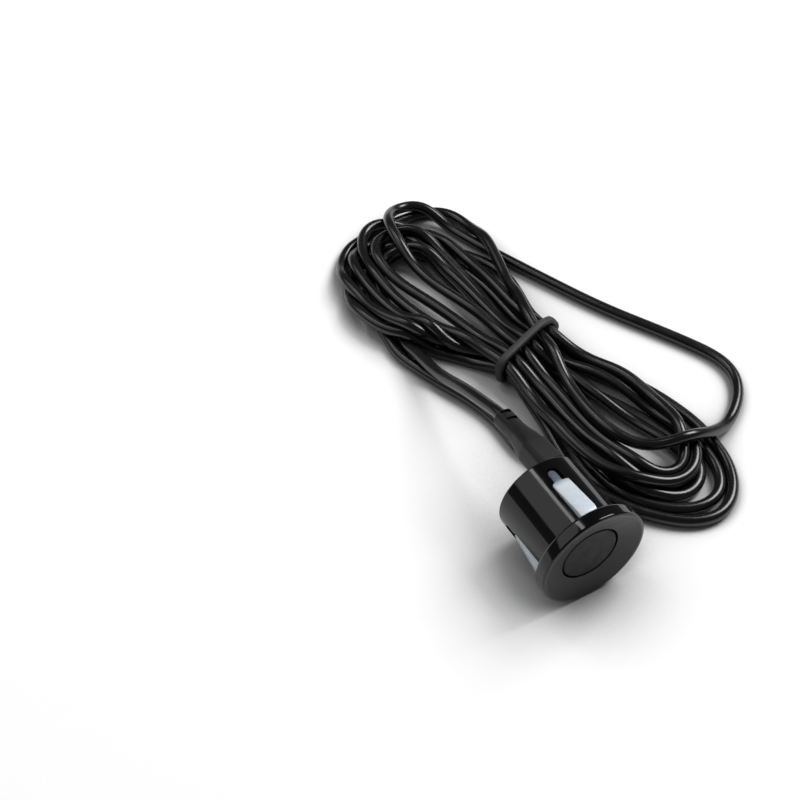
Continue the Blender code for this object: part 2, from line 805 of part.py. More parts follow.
def plug_seal(plug, rubber):
    """Rubber wire seal in the plug's rear pocket, drawn out into a short tapered neck."""
    inside = PLUG_LENGTH - SEAL_POCKET_DEPTH + FIT
    end = PLUG_LENGTH + SEAL_STANDOUT
    loft_on_wire(
        "plug_seal",
        (
            (inside, SEAL_HALF_WIDTH, SEAL_HALF_HEIGHT, SEAL_SQUARENESS),
            (PLUG_LENGTH, SEAL_HALF_WIDTH, SEAL_HALF_HEIGHT, SEAL_SQUARENESS),
            (PLUG_LENGTH + SEAL_STANDOUT * 0.5, SEAL_NECK_RADIUS * 1.2, SEAL_NECK_RADIUS, 2.2),
            (end, SEAL_NECK_RADIUS, SEAL_NECK_RADIUS, 2.0),
        ),
        rubber,
        plug,
    )


def smooth_points(route, step):
    """Evenly spaced points on a smooth curve through the route's points."""
    knots = [Vector(place) for place in route]
    padded = [2 * knots[0] - knots[1]] + knots + [2 * knots[-1] - knots[-2]]
    fine = []
    for before, start, end, after in zip(padded, padded[1:], padded[2:], padded[3:]):
        for index in range(12):
            t = index / 12
            fine.append(
                (
                    2 * start
                    + (end - before) * t
                    + (2 * before - 5 * start + 4 * end - after) * t**2
                    + (3 * start - before - 3 * end + after) * t**3
                )
                / 2
            )
    fine.append(knots[-1])
    travelled = [0.0]
    for start, end in zip(fine, fine[1:]):
        travelled.append(travelled[-1] + (end - start).length)
    count = round(travelled[-1] / step)
    points = []
    index = 0
    for number in range(count + 1):
        target = travelled[-1] * number / count
        while travelled[index + 1] < target and index < len(fine) - 2:
            index += 1
        share = (target - travelled[index]) / (travelled[index + 1] - travelled[index])
        points.append(fine[index].lerp(fine[index + 1], share))
    return points


def cable_run(name, route, vinyl, exit_place=None):
    """One stretch of cable that isn't hanked; from an exit it first runs straight backwards."""
    if exit_place:
        across, back, low = exit_place
        route = ((across, back, low), (across, back + EXIT_REACH, low)) + route
    middles = [(across, back, low + CABLE_RADIUS) for across, back, low in route]
    tube(name, smooth_points(middles, CABLE_STEP * 2 * CABLE_RADIUS), CABLE_RADIUS, vinyl)


def hank_frame():
    """An empty at the hank's waist whose local Y runs along the hank."""
    empty = bpy.data.objects.new("hank_frame", None)
    empty.location = (HANK_CENTRE[0] * MM, HANK_CENTRE[1] * MM, 0)
    empty.rotation_euler = (0, 0, HANK_TURN)
    bpy.context.scene.collection.objects.link(empty)
    return empty


def cable_hank(hank, vinyl):
    """The outer shape of the hanked turns, waisted where the tie grips them."""
    bm = bmesh.new()
    rings = []
    waist = [
        (end * WAIST_LENGTH / 2, -WAIST_HALF_WIDTH, WAIST_HALF_WIDTH, WAIST_LOW, WAIST_HIGH)
        for end in (-1, 1)
    ]
    for along, left, right, low, high in (*HANK_NEAR_STATIONS, *waist, *HANK_FAR_STATIONS):
        outline = superellipse((right - left) / 2, (high - low) / 2, HANK_SQUARENESS, LOFT_STEPS)
        middle, level = (left + right) / 2, (low + high) / 2
        rings.append([bm.verts.new((middle + across, along, level + up)) for across, up in outline])
    skin(bm, rings)
    mesh_object("cable_hank", bm, vinyl, hank)


def hank_tie(hank, rubber):
    """Rubber ring round the hank's waist."""
    half_width = WAIST_HALF_WIDTH + FIT + TIE_RADIUS
    half_height = WAIST_HEIGHT / 2 + FIT + TIE_RADIUS
    level = (WAIST_LOW + WAIST_HIGH) / 2
    loop = superellipse(half_width, half_height, HANK_SQUARENESS, 2 * LOFT_STEPS)
    points = [(across, 0.0, level + up) for across, up in loop]
    tube("hank_tie", points, TIE_RADIUS, rubber, resolution=3, cyclic=True, parent=hank)


def all_materials():
    """Every finish of the part, by what it is used for."""
    return {
        "shell": finish("shell_plastic", (0.024, 0.024, 0.026), 0.34),
        "black": finish("black_plastic", (0.02, 0.02, 0.022), 0.45),
        "pad": finish("clear_rubber", (0.68, 0.76, 0.86), 0.35),
        "face": finish("painted_face", (0.035, 0.036, 0.038), 0.55, 0.1),
        "ceramic": finish("ceramic", (0.72, 0.68, 0.55), 0.5),
        "felt": finish("grey_felt", (0.35, 0.35, 0.34), 0.95),
        "silicone": finish("silicone", (0.03, 0.03, 0.032), 0.6),
        "tin": finish("tinned_pin", (0.75, 0.75, 0.74), 0.3, 1.0),
        "red_wire": finish("red_wire", (0.55, 0.04, 0.03), 0.4),
        "white_wire": finish("white_wire", (0.8, 0.8, 0.78), 0.4),
        "boot": finish("boot_vinyl", (0.03, 0.03, 0.032), 0.6),
        "cable": finish("cable_vinyl", (0.014, 0.014, 0.016), 0.32),
        "tie": finish("tie_rubber", (0.05, 0.05, 0.052), 0.7),
        "plug": finish("plug_plastic", (0.018, 0.018, 0.02), 0.42),
    }


def build():
    for old in list(bpy.data.objects):
        bpy.data.objects.remove(old, do_unlink=True)
    materials = all_materials()
    head = axis_frame("head_axis", 0.0, 0.0, FLANGE_RADIUS)
    outer_shell(head, materials["shell"])
    retaining_sleeve(head, materials["pad"])
    transducer(head, materials)
    isolator_ring(head, materials["silicone"])
    lead_wires(head, materials)
    rear_cap(head, materials["black"])
    cable_boot(head, materials["boot"])
    plug = axis_frame("plug_axis", PLUG_SIDE, PLUG_START, 0.0)
    plug_housing(plug, materials["plug"])
    plug_contact(plug, -1, "left", materials["tin"])
    plug_contact(plug, 1, "right", materials["tin"])
    plug_seal(plug, materials["silicone"])
    hank = hank_frame()
    cable_hank(hank, materials["cable"])
    hank_tie(hank, materials["tie"])
    cable_run("cable_head_end", HEAD_END_ROUTE, materials["cable"], HEAD_EXIT)
    cable_run("cable_plug_end", PLUG_END_ROUTE, materials["cable"], PLUG_EXIT)
    cable_run("cable_loose_loop", LOOSE_LOOP_ROUTE, materials["cable"])


build()
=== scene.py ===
import math

import bpy
import numpy as np
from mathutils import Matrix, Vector


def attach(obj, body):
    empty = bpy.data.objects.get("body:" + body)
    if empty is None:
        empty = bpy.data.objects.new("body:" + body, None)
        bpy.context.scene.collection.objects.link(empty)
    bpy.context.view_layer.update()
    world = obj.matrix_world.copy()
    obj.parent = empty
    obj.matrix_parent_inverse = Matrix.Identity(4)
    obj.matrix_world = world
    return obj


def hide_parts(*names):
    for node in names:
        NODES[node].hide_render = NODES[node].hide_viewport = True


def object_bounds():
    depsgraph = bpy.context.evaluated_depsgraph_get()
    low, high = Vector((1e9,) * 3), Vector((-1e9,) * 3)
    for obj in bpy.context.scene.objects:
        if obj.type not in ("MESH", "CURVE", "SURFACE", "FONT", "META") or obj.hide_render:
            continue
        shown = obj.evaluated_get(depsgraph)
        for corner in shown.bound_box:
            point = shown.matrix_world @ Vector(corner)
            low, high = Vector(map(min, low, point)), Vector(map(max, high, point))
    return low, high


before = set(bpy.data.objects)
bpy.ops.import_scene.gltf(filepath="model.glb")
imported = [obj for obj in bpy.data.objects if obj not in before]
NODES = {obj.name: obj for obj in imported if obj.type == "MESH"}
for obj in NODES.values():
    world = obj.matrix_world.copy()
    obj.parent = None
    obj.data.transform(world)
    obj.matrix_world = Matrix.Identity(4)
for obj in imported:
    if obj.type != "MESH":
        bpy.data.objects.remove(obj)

CAD_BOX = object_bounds()
MM = 0.001

# Camera: where it stands, what it looks at, in mm, and its lens
CAMERA_PLACE = (-139.65, -173.72, 291.95)
CAMERA_AIM = (-12.12, 39.24, 13.0)
LENS = 73.686

# The head's axis above the floor, and cable and tie sizes, in mm
HEAD_HEIGHT = 13.0
CABLE_RADIUS = 1.4
STEP_ALONG = 1.2
TIE_WIDTH = 1.9
TIE_THICKNESS = 1.5
TIE_GAP = 0.12

# The hank's own frame: its middle at the tie, the way along it and the way across it
HANK_MIDDLE = np.array([27.1, 44.5])
ALONG = np.array([-0.3190, 0.9478])
ACROSS = np.array([0.9478, 0.3190])

# The cable's runs outside the hank, as (across, back, height of its underside), in mm
FROM_BOOT = [
    (2.7, 20.1, 16.3), (2.7, 22.0, 15.9), (2.7, 24.2, 15.1), (2.7, 28.2, 13.6), (2.7, 33.9, 11.4),
    (2.7, 38.7, 9.2), (2.7, 43.1, 7.0), (2.8, 48.5, 5.0), (3.0, 53.0, 3.7), (3.3, 57.5, 2.8),
    (3.6, 61.0, 2.4), (3.8, 63.0, 2.2), (4.8, 68.5, 0.6), (6.0, 73.5, 0.1), (7.0, 79.0, 0.2),
]
TO_PLUG = [
    (8.2, 87.1, 0), (4.5, 81.5, 0), (2.8, 76.8, 0), (2.0, 72.3, 0), (1.4, 70.1, 0), (1.1, 67.8, 0),
    (1.0, 64.0, 0), (1.2, 60.0, 0), (1.8, 56.0, 0), (2.9, 52.0, 0), (4.2, 48.3, 0), (5.6, 44.6, 0),
    (7.0, 41.0, 0), (8.1, 37.3, 0), (9.0, 33.0, 0), (9.4, 28.5, 0), (9.2, 24.5, 0), (9.2, 20.5, 0),
    (10.3, 17.5, 0.2), (11.7, 14.5, 0.8), (12.5, 12.0, 1.2), (12.5, 10.2, 1.2),
]

# The hank's half turns, each as four places: along the hank, across it and height, in mm. They are
# where the cable starts to turn, the tip of the turn, where it ends, and the crossing at the tie
HALF_TURNS = [
    [(43.0, -6.0, 2.4), (47.3, 1.5, 4.6), (40.5, 9.0, 6.7), (0, 0.5, 6.4)],
    [(-44.5, -1.0, 3.8), (-51.0, -7.5, 3.4), (-41.0, -15.3, 4.2), (0, -6.0, 6.4)],
    [(37.0, -3.5, 7.8), (51.5, 5.5, 7.0), (43.0, 12.5, 6.8), (0, 3.0, 3.6)],
    [(-24.0, 5.5, 3.9), (-51.5, -7.0, 4.6), (-34.5, -19.0, 5.6), (0, -9.0, 6.4)],
    [(19.0, -9.0, 7.1), (57.5, 7.5, 4.4), (43.0, 16.5, 5.6), (0, 7.0, 6.4)],
    [(-19.0, 7.0, 6.4), (-49.0, -5.8, 6.3), (-42.0, -13.0, 6.6), (0, -2.5, 6.4)],
    [(14.0, 0.0, 9.0), (56.5, 16.5, 5.2), (50.0, 23.0, 4.4), (0, 25.0, 1.4)],
    [(-35.5, 29.5, 1.4), (-49.0, 10.0, 3.4), (-33.5, -10.0, 9.2), (0, 4.0, 8.2)],
    [(46.0, 27.5, 3.2), (57.5, 0.0, 1.4), (29.0, -15.5, 5.6), (0, -3.0, 3.6)],
    [(-42.5, -17.5, 3.2), (-54.0, -8.0, 2.9), (-38.5, 1.5, 3.0), (0, 0.0, 3.6)],
    [(44.0, 10.0, 4.3), (56.0, 2.0, 4.3), (20.5, -12.5, 5.2), (0, -6.0, 3.6)],
    [(-41.5, -19.5, 1.4), (-59.0, -7.0, 1.4), (-29.0, 6.5, 2.6), (0, 6.0, 3.6)],
    [(30.0, 13.0, 1.8), (52.0, -2.0, 2.2), (33.5, -17.5, 4.4), (0, -8.5, 3.6)],
    [(-36.5, -23.0, 1.4), (-62.5, -9.0, 1.4), (-33.5, 9.5, 2.1), (0, 8.5, 3.6)],
    [(25.0, 19.0, 2.4), (47.5, 4.5, 1.4)],
]

# How the cable is sampled and settles, in mm where a size is meant
SAMPLES_PER_KNOT = 16
FLANK_STEPS = 4
ROUND_STEPS = 4
SETTLE_ROUNDS = 300
LAST_ROUNDS = 60
PAIRS_EVERY = 15
NEAR = 5.0
OWN_NEIGHBOURS = 7
HELD_ENDS = 6
HANK_SIDE = -15.0
APART = 2 * CABLE_RADIUS + 0.02
PUSH_WAY = np.array([0.8, 0.8, 1.0])
FALL = 0.012
STIFFNESS = 0.06
SHARP_EASE = 0.08
MOST_BEND = STEP_ALONG ** 2 / 7.5
STIFF_STEPS = 4
KEEP_PLACE = 0.02
SPREAD = 6
LAST_SPREAD = 2
CROWDING = 0.6
RESTING_GAP = 0.03

# The hank's waist, in mm: half its width, and where the tie's band starts and stops lifting the cable
WAIST_HALF_WIDTH = 14
BAND_FULL = 3
BAND_END = 9

# How finely the cable and the tie are meshed
CABLE_RESOLUTION = 6
STRAND_SIDES = 48
TIE_STEPS = 120
TIE_SIDES = 20
TIE_SMOOTHING = 3
TIE_SQUARENESS = 0.6

# Where finishes change on the head, in mm: the dish's rim and floor; and where the painted shade on the
# pads' stems starts
DISH_RIM = (11.9, 12.3)
DISH_DEPTH = (-17.6, -17.2)
STEM_SHADE_START = (-6.6, -4.4)

# Smooth shading: corners nearer than this are one, in mm, and edges sharper than this stay sharp
MERGE_GAP = 0.002
SHARP_EDGE = 32

# Paper: half its side in m, how far it lies below the object, its colour, its own glow near the
# object, how far it looks for what hides it, how open it has to lie to glow (in less open places the
# glow fades out, which is painted shade), and where it turns white
PAPER_HALF_SIDE = 20.0
PAPER_DROP = 0.00002
PAPER_COLOUR = 0.60
PAPER_GLOW = 0.54
HIDING_REACH = 30
HIDING_SAMPLES = 12
PAINTED_SHADE_OPENNESS = (0.60, 0.90)
TURNS_WHITE = (0.25, 0.90)

# The sky's level at each height, from the horizon to overhead
SKY = ((0.00, 0.16), (0.20, 0.12), (0.60, 0.10), (1.00, 0.08))


# Shape of the cable

def hank_place(along, across, height):
    """A point of the hank's own frame, in the object's frame, in mm."""
    x, y = HANK_MIDDLE + ALONG * along + ACROSS * across
    return (x, y, height)


def in_hank(points):
    """How far along and across the hank the points lie, in mm."""
    offset = points[:, :2] - HANK_MIDDLE
    return offset @ ALONG, offset @ ACROSS


def flank(tie, turn, slope):
    """Points from the tie out to the start of a turn, which they reach along the hank."""
    points = []
    for t in np.linspace(0, 1, FLANK_STEPS, endpoint=False):
        place = tie + (turn - tie) * t
        lean = (turn[0] - tie[0]) * slope * t * (1 - t) ** 2
        place[1] = tie[1] + (turn[1] - tie[1]) * t * t * (3 - 2 * t) + lean
        points.append(place)
    return points


def quarter(side, tip):
    """Points of a quarter of an ellipse from the hank's side to the tip of a turn."""
    points = []
    for angle in np.linspace(0, math.pi / 2, ROUND_STEPS, endpoint=False):
        share = np.array([math.sin(angle), 1 - math.cos(angle), 1 - math.cos(angle)])
        points.append(side + (tip - side) * share)
    return points


def hank_points():
    """The hank's turns one after the other, each worked out from its few places."""
    turns = [[np.array(place, float) for place in turn] for turn in HALF_TURNS]
    points = []
    tie, slope = None, 0.0
    for number, turn in enumerate(turns):
        out, tip = turn[:2]
        if tie is not None:
            points += flank(tie, out, slope)
        points += quarter(out, tip) + [tip]
        if len(turn) > 2:
            back, tie = turn[2:]
            ahead = turns[number + 1][0]
            slope = (ahead[1] - back[1]) / (ahead[0] - back[0])
            points += quarter(back, tip)[::-1] + flank(tie, back, slope)[:0:-1]
    return [hank_place(*point) for point in points]


def smooth_route(knots, step):
    """Points every step along a centripetal Catmull-Rom curve through the knots."""
    knots = np.vstack([2 * knots[0] - knots[1], knots, 2 * knots[-1] - knots[-2]])
    samples = []
    for a, b, c, d in zip(knots, knots[1:], knots[2:], knots[3:]):
        t0 = 0.0
        t1 = t0 + np.linalg.norm(b - a) ** 0.5
        t2 = t1 + np.linalg.norm(c - b) ** 0.5
        t3 = t2 + np.linalg.norm(d - c) ** 0.5
        for t in np.linspace(t1, t2, SAMPLES_PER_KNOT, endpoint=False):
            ab = ((t1 - t) * a + (t - t0) * b) / (t1 - t0)
            bc = ((t2 - t) * b + (t - t1) * c) / (t2 - t1)
            cd = ((t3 - t) * c + (t - t2) * d) / (t3 - t2)
            abc = ((t2 - t) * ab + (t - t0) * bc) / (t2 - t0)
            bcd = ((t3 - t) * bc + (t - t1) * cd) / (t3 - t1)
            samples.append(((t2 - t) * abc + (t - t1) * bcd) / (t2 - t1))
    samples.append(knots[-2])
    samples = np.array(samples)
    run = np.r_[0, np.cumsum(np.linalg.norm(np.diff(samples, axis=0), axis=1))]
    places = np.linspace(0, run[-1], round(run[-1] / step) + 1)
    return np.stack([np.interp(places, run, samples[:, k]) for k in range(3)], axis=1)


def lowest_height(points):
    """How low each point may lie: on the floor, or on the tie's band near the hank's waist."""
    along, across = in_hank(points)
    on_band = CABLE_RADIUS + TIE_THICKNESS + TIE_GAP + RESTING_GAP
    fade = np.clip((BAND_END - abs(along)) / (BAND_END - BAND_FULL), 0, 1)
    low = np.where(abs(across) < WAIST_HALF_WIDTH, on_band * fade, 0)
    return np.maximum(low, CABLE_RADIUS + RESTING_GAP)


def stiff_move(points):
    """How a stiff cable evens out its bends, and eases those that are too sharp."""
    bend = np.zeros_like(points)
    bend[1:-1] = points[:-2] - 2 * points[1:-1] + points[2:]
    size = np.maximum(np.linalg.norm(bend, axis=1), 1e-6)
    sharp = bend * np.maximum(0, 1 - MOST_BEND / size)[:, None]
    load = STIFFNESS * bend + SHARP_EASE * sharp
    move = 2 * load
    move[1:] -= load[:-1]
    move[:-1] -= load[1:]
    return move


def touch_move(points, one, two):
    """How the turns that touch push each other apart."""
    gap = points[one] - points[two]
    distance = np.linalg.norm(gap, axis=1)
    hit = distance < APART
    one, two, gap, distance = one[hit], two[hit], gap[hit], distance[hit]
    way = gap * PUSH_WAY
    way /= np.maximum(np.linalg.norm(way, axis=1), 1e-6)[:, None]
    push = way * ((APART - distance) / 2)[:, None]
    move = np.zeros_like(points)
    count = np.zeros(len(points))
    for places, shove in ((one, push), (two, -push)):
        np.add.at(move, places, shove)
        np.add.at(count, places, 1)
    return move / np.maximum(count, 1)[:, None] ** CROWDING


def settle(start):
    """Lets the turns push each other apart, bend stiffly and sink until they rest on each other."""
    points = start.copy()
    index = np.arange(len(points))
    held = (index < HELD_ENDS) | (index >= len(points) - HELD_ENDS)
    hanked = in_hank(start)[1] > HANK_SIDE
    for turn in range(SETTLE_ROUNDS):
        if turn % PAIRS_EVERY == 0:
            near = ((points[:, None] - points[None]) ** 2).sum(2) < NEAR ** 2
            one, two = np.where(near & (index[:, None] + OWN_NEIGHBOURS < index[None]))
        last = turn >= SETTLE_ROUNDS - LAST_ROUNDS
        move = touch_move(points, one, two)
        for _ in range(LAST_SPREAD if last else SPREAD):
            move[1:-1] = 0.25 * move[:-2] + 0.5 * move[1:-1] + 0.25 * move[2:]
        if not last:
            move[hanked, 2] -= FALL
        pull = KEEP_PLACE * (start - points)
        pull[hanked, 2] = 0
        points = np.where(held[:, None], points, points + move + pull)
        for _ in range(STIFF_STEPS):
            points = np.where(held[:, None], points, points + stiff_move(points))
        points[:, 2] = np.where(held, points[:, 2], np.maximum(points[:, 2], lowest_height(points)))
    return points


def cable_route():
    """The whole cable's centre line, from the boot to the plug, in mm."""
    lift = np.array([0, 0, CABLE_RADIUS])
    knots = [FROM_BOOT + lift, np.array(hank_points()), TO_PLUG + lift]
    return settle(smooth_route(np.vstack(knots), STEP_ALONG))


def round_curve(name, points, radius, resolution):
    """A closed-ended tube along the points, in metres."""
    data = bpy.data.curves.new(name, "CURVE")
    data.dimensions = "3D"
    spline = data.splines.new("POLY")
    spline.points.add(len(points) - 1)
    for point, place in zip(spline.points, points):
        point.co = (*(np.array(place) * MM), 1)
    data.bevel_depth = radius * MM
    data.bevel_resolution = resolution
    data.use_fill_caps = True
    piece = bpy.data.objects.new(name, data)
    bpy.context.scene.collection.objects.link(piece)
    return piece


# Tie

def hull(points):
    """The convex outline of the points, anticlockwise."""
    points = sorted(map(tuple, points))

    def half(points):
        line = []
        for p in points:
            while len(line) > 1:
                (ax, ay), (bx, by) = line[-2], line[-1]
                if (bx - ax) * (p[1] - ay) - (by - ay) * (p[0] - ax) > 0:
                    break
                line.pop()
            line.append(p)
        return line[:-1]

    return np.array(half(points) + half(points[::-1]))


def strands_at_tie(route):
    """Where the cable's runs cross the tie's plane: across the hank and height, in mm."""
    along, across = in_hank(route)
    strands = []
    for i in np.where(along[:-1] * along[1:] < 0)[0]:
        if abs(across[i]) < WAIST_HALF_WIDTH:
            share = along[i] / (along[i] - along[i + 1])
            strands.append((across[i] + share * (across[i + 1] - across[i]),
                            route[i, 2] + share * (route[i + 1, 2] - route[i, 2])))
    return strands


def tie_path(strands):
    """The band's middle line round the strands, as a closed ring of even steps."""
    reach = CABLE_RADIUS + TIE_GAP + TIE_THICKNESS / 2
    turn = np.linspace(0, 2 * math.pi, STRAND_SIDES, endpoint=False)
    ring = np.stack([np.cos(turn), np.sin(turn)], axis=1) * reach
    outline = hull(np.vstack([ring + strand for strand in strands]))
    closed = np.vstack([outline, outline[:1]])
    run = np.r_[0, np.cumsum(np.linalg.norm(np.diff(closed, axis=0), axis=1))]
    places = np.linspace(0, run[-1], TIE_STEPS, endpoint=False)
    path = np.stack([np.interp(places, run, closed[:, k]) for k in range(2)], axis=1)
    for _ in range(TIE_SMOOTHING):
        path = (np.roll(path, 1, 0) + 2 * path + np.roll(path, -1, 0)) / 4
    return path


def squared(value):
    """A sine or cosine drawn out towards 1, for a section between an ellipse and a rectangle."""
    return math.copysign(abs(value) ** TIE_SQUARENESS, value)


def tie_band(route):
    """The rubber band: a rounded strip swept round the strands."""
    path = tie_path(strands_at_tie(route))
    ahead = np.roll(path, -1, 0) - np.roll(path, 1, 0)
    ahead /= np.linalg.norm(ahead, axis=1)[:, None]
    outward = np.stack([ahead[:, 1], -ahead[:, 0]], axis=1)
    sides = TIE_SIDES
    verts = []
    for place, out in zip(path, outward):
        for k in range(sides):
            angle = 2 * math.pi * k / sides
            wide = squared(math.cos(angle)) * TIE_WIDTH / 2
            thick = squared(math.sin(angle)) * TIE_THICKNESS / 2
            across, height = place + out * thick
            verts.append(Vector(hank_place(wide, across, height)) * MM)
    rings = len(path)
    faces = []
    for i in range(rings):
        for k in range(sides):
            j, m = (i + 1) % rings, (k + 1) % sides
            faces.append((i * sides + k, i * sides + m, j * sides + m, j * sides + k))
    mesh = bpy.data.meshes.new("rubber_tie")
    mesh.from_pydata(verts, [], faces)
    mesh.shade_smooth()
    piece = bpy.data.objects.new("rubber_tie", mesh)
    bpy.context.scene.collection.objects.link(piece)
    return piece


# Materials

def new_material(name):
    """An empty node material and its shader."""
    material = bpy.data.materials.new(name)
    material.use_nodes = True
    tree = material.node_tree
    return material, tree, tree.nodes["Principled BSDF"]


def noise(tree, scale, detail=4.0, stretch=(1, 1, 1)):
    """Noise in the object's own coordinates; scale counts its cells per metre."""
    place = tree.nodes.new("ShaderNodeTexCoord")
    mapping = tree.nodes.new("ShaderNodeMapping")
    mapping.inputs["Scale"].default_value = stretch
    tree.links.new(place.outputs["Object"], mapping.inputs["Vector"])
    texture = tree.nodes.new("ShaderNodeTexNoise")
    texture.inputs["Scale"].default_value = scale
    texture.inputs["Detail"].default_value = detail
    tree.links.new(mapping.outputs["Vector"], texture.inputs["Vector"])
    return texture.outputs["Fac"]


def spread(tree, value, low, high, start=0.3, end=0.7):
    """The value between start and end, stretched to the range low to high."""
    node = tree.nodes.new("ShaderNodeMapRange")
    node.inputs["From Min"].default_value = start
    node.inputs["From Max"].default_value = end
    node.inputs["To Min"].default_value = low
    node.inputs["To Max"].default_value = high
    tree.links.new(value, node.inputs["Value"])
    return node.outputs["Result"]


def tint(tree, value, dark, light):
    """A colour between dark and light, by the value."""
    node = tree.nodes.new("ShaderNodeMix")
    node.data_type = "RGBA"
    node.inputs["A"].default_value = (*dark, 1)
    node.inputs["B"].default_value = (*light, 1)
    tree.links.new(value, node.inputs["Factor"])
    return node.outputs["Result"]


def bump(tree, shader, value, height):
    """Adds the value as relief of this height, in mm."""
    node = tree.nodes.new("ShaderNodeBump")
    node.inputs["Distance"].default_value = height * MM
    tree.links.new(value, node.inputs["Height"])
    tree.links.new(node.outputs["Normal"], shader.inputs["Normal"])


def moulded(name, dark, light, rough, grain=2500, relief=0.01, specular=0.5):
    """Moulded plastic or rubber: a fine grain, uneven gloss and faint patches of colour."""
    material, tree, shader = new_material(name)
    shader.inputs["Specular IOR Level"].default_value = specular
    patches = noise(tree, 180)
    colour = tint(tree, spread(tree, patches, 0, 1), dark, light)
    tree.links.new(colour, shader.inputs["Base Color"])
    tree.links.new(spread(tree, noise(tree, 420), *rough), shader.inputs["Roughness"])
    bump(tree, shader, noise(tree, grain, 2), relief)
    return material


def grey(level):
    """A neutral colour of this linear level."""
    return (level, level, level * 1.03)


def place_along(tree, socket):
    """One coordinate of the place on the object, in metres."""
    place = tree.nodes.new("ShaderNodeTexCoord")
    parts = tree.nodes.new("ShaderNodeSeparateXYZ")
    tree.links.new(place.outputs["Object"], parts.inputs[0])
    return parts.outputs[socket]


def head_radius(tree):
    """The distance from the head's axis, in metres."""
    place = tree.nodes.new("ShaderNodeTexCoord")
    mapping = tree.nodes.new("ShaderNodeMapping")
    mapping.inputs["Location"].default_value = (0, 0, -HEAD_HEIGHT * MM)
    mapping.inputs["Scale"].default_value = (1, 0, 1)
    tree.links.new(place.outputs["Object"], mapping.inputs["Vector"])
    size = tree.nodes.new("ShaderNodeVectorMath")
    size.operation = "LENGTH"
    tree.links.new(mapping.outputs["Vector"], size.inputs[0])
    return size.outputs["Value"]


def product(tree, one, two):
    """The two values multiplied."""
    node = tree.nodes.new("ShaderNodeMath")
    node.operation = "MULTIPLY"
    tree.links.new(one, node.inputs[0])
    tree.links.new(two, node.inputs[1])
    return node.outputs["Value"]


def mixed(tree, share, low, high):
    """A value between two others, by the share."""
    node = tree.nodes.new("ShaderNodeMix")
    tree.links.new(share, node.inputs["Factor"])
    tree.links.new(low, node.inputs["A"])
    tree.links.new(high, node.inputs["B"])
    return node.outputs["Result"]


def shell_plastic():
    """Polished black plastic with a matte, finely grained dish round the face."""
    material, tree, shader = new_material("polished_black_plastic")
    inside = spread(tree, head_radius(tree), 1, 0, *(edge * MM for edge in DISH_RIM))
    front = spread(tree, place_along(tree, "Y"), 1, 0, *(edge * MM for edge in DISH_DEPTH))
    matte = product(tree, inside, front)
    tree.links.new(tint(tree, matte, grey(0.002), (0.007, 0.007, 0.008)), shader.inputs["Base Color"])
    polished = spread(tree, noise(tree, 420), 0.07, 0.12)
    grained = spread(tree, noise(tree, 500), 0.34, 0.42)
    tree.links.new(mixed(tree, matte, polished, grained), shader.inputs["Roughness"])
    bump(tree, shader, product(tree, noise(tree, 4500, 2), matte), 0.006)
    shader.inputs["Specular IOR Level"].default_value = 0.38
    return material


def clear_rubber():
    """The milky wedge pads, which let some light through; their stems get painted shade, a dark colour
    where they sink into the windows.
    """
    material, tree, shader = new_material("milky_clear_rubber")
    milky = tint(tree, spread(tree, noise(tree, 160), 0, 1), (0.66, 0.75, 0.86), (0.80, 0.86, 0.93))
    # Painted shade: back from here the stems are coloured dark blue, standing in for the shade of the
    # window walls
    stem_painted_shade = spread(tree, place_along(tree, "Y"), 0, 1, *(edge * MM for edge in STEM_SHADE_START))
    colour = tree.nodes.new("ShaderNodeMix")
    colour.data_type = "RGBA"
    tree.links.new(stem_painted_shade, colour.inputs["Factor"])
    tree.links.new(milky, colour.inputs["A"])
    colour.inputs["B"].default_value = (0.11, 0.14, 0.19, 1)
    tree.links.new(colour.outputs["Result"], shader.inputs["Base Color"])
    tree.links.new(spread(tree, noise(tree, 500), 0.22, 0.34), shader.inputs["Roughness"])
    shader.inputs["Subsurface Weight"].default_value = 0.5
    shader.inputs["Subsurface Radius"].default_value = (0.002, 0.0024, 0.003)
    shader.inputs["Subsurface Scale"].default_value = 1.0
    bump(tree, shader, noise(tree, 900, 2), 0.02)
    return material


def metal(name, colour, rough):
    """Plated metal with fine drawn lines."""
    material, tree, shader = new_material(name)
    shader.inputs["Metallic"].default_value = 1.0
    lines = noise(tree, 900, 3, (8, 1, 8))
    dark = tuple(0.7 * c for c in colour)
    tree.links.new(tint(tree, spread(tree, lines, 0, 1), dark, colour), shader.inputs["Base Color"])
    tree.links.new(spread(tree, lines, *rough), shader.inputs["Roughness"])
    return material


def cable_vinyl():
    """Soft black vinyl, glossy along the runs, with the cable's faint drawn unevenness."""
    material, tree, shader = new_material("cable_vinyl_black")
    shader.inputs["Specular IOR Level"].default_value = 0.55
    colour = tint(tree, spread(tree, noise(tree, 120), 0, 1), grey(0.003), grey(0.006))
    tree.links.new(colour, shader.inputs["Base Color"])
    tree.links.new(spread(tree, noise(tree, 260), 0.20, 0.28), shader.inputs["Roughness"])
    bump(tree, shader, noise(tree, 300, 2), 0.008)
    return material


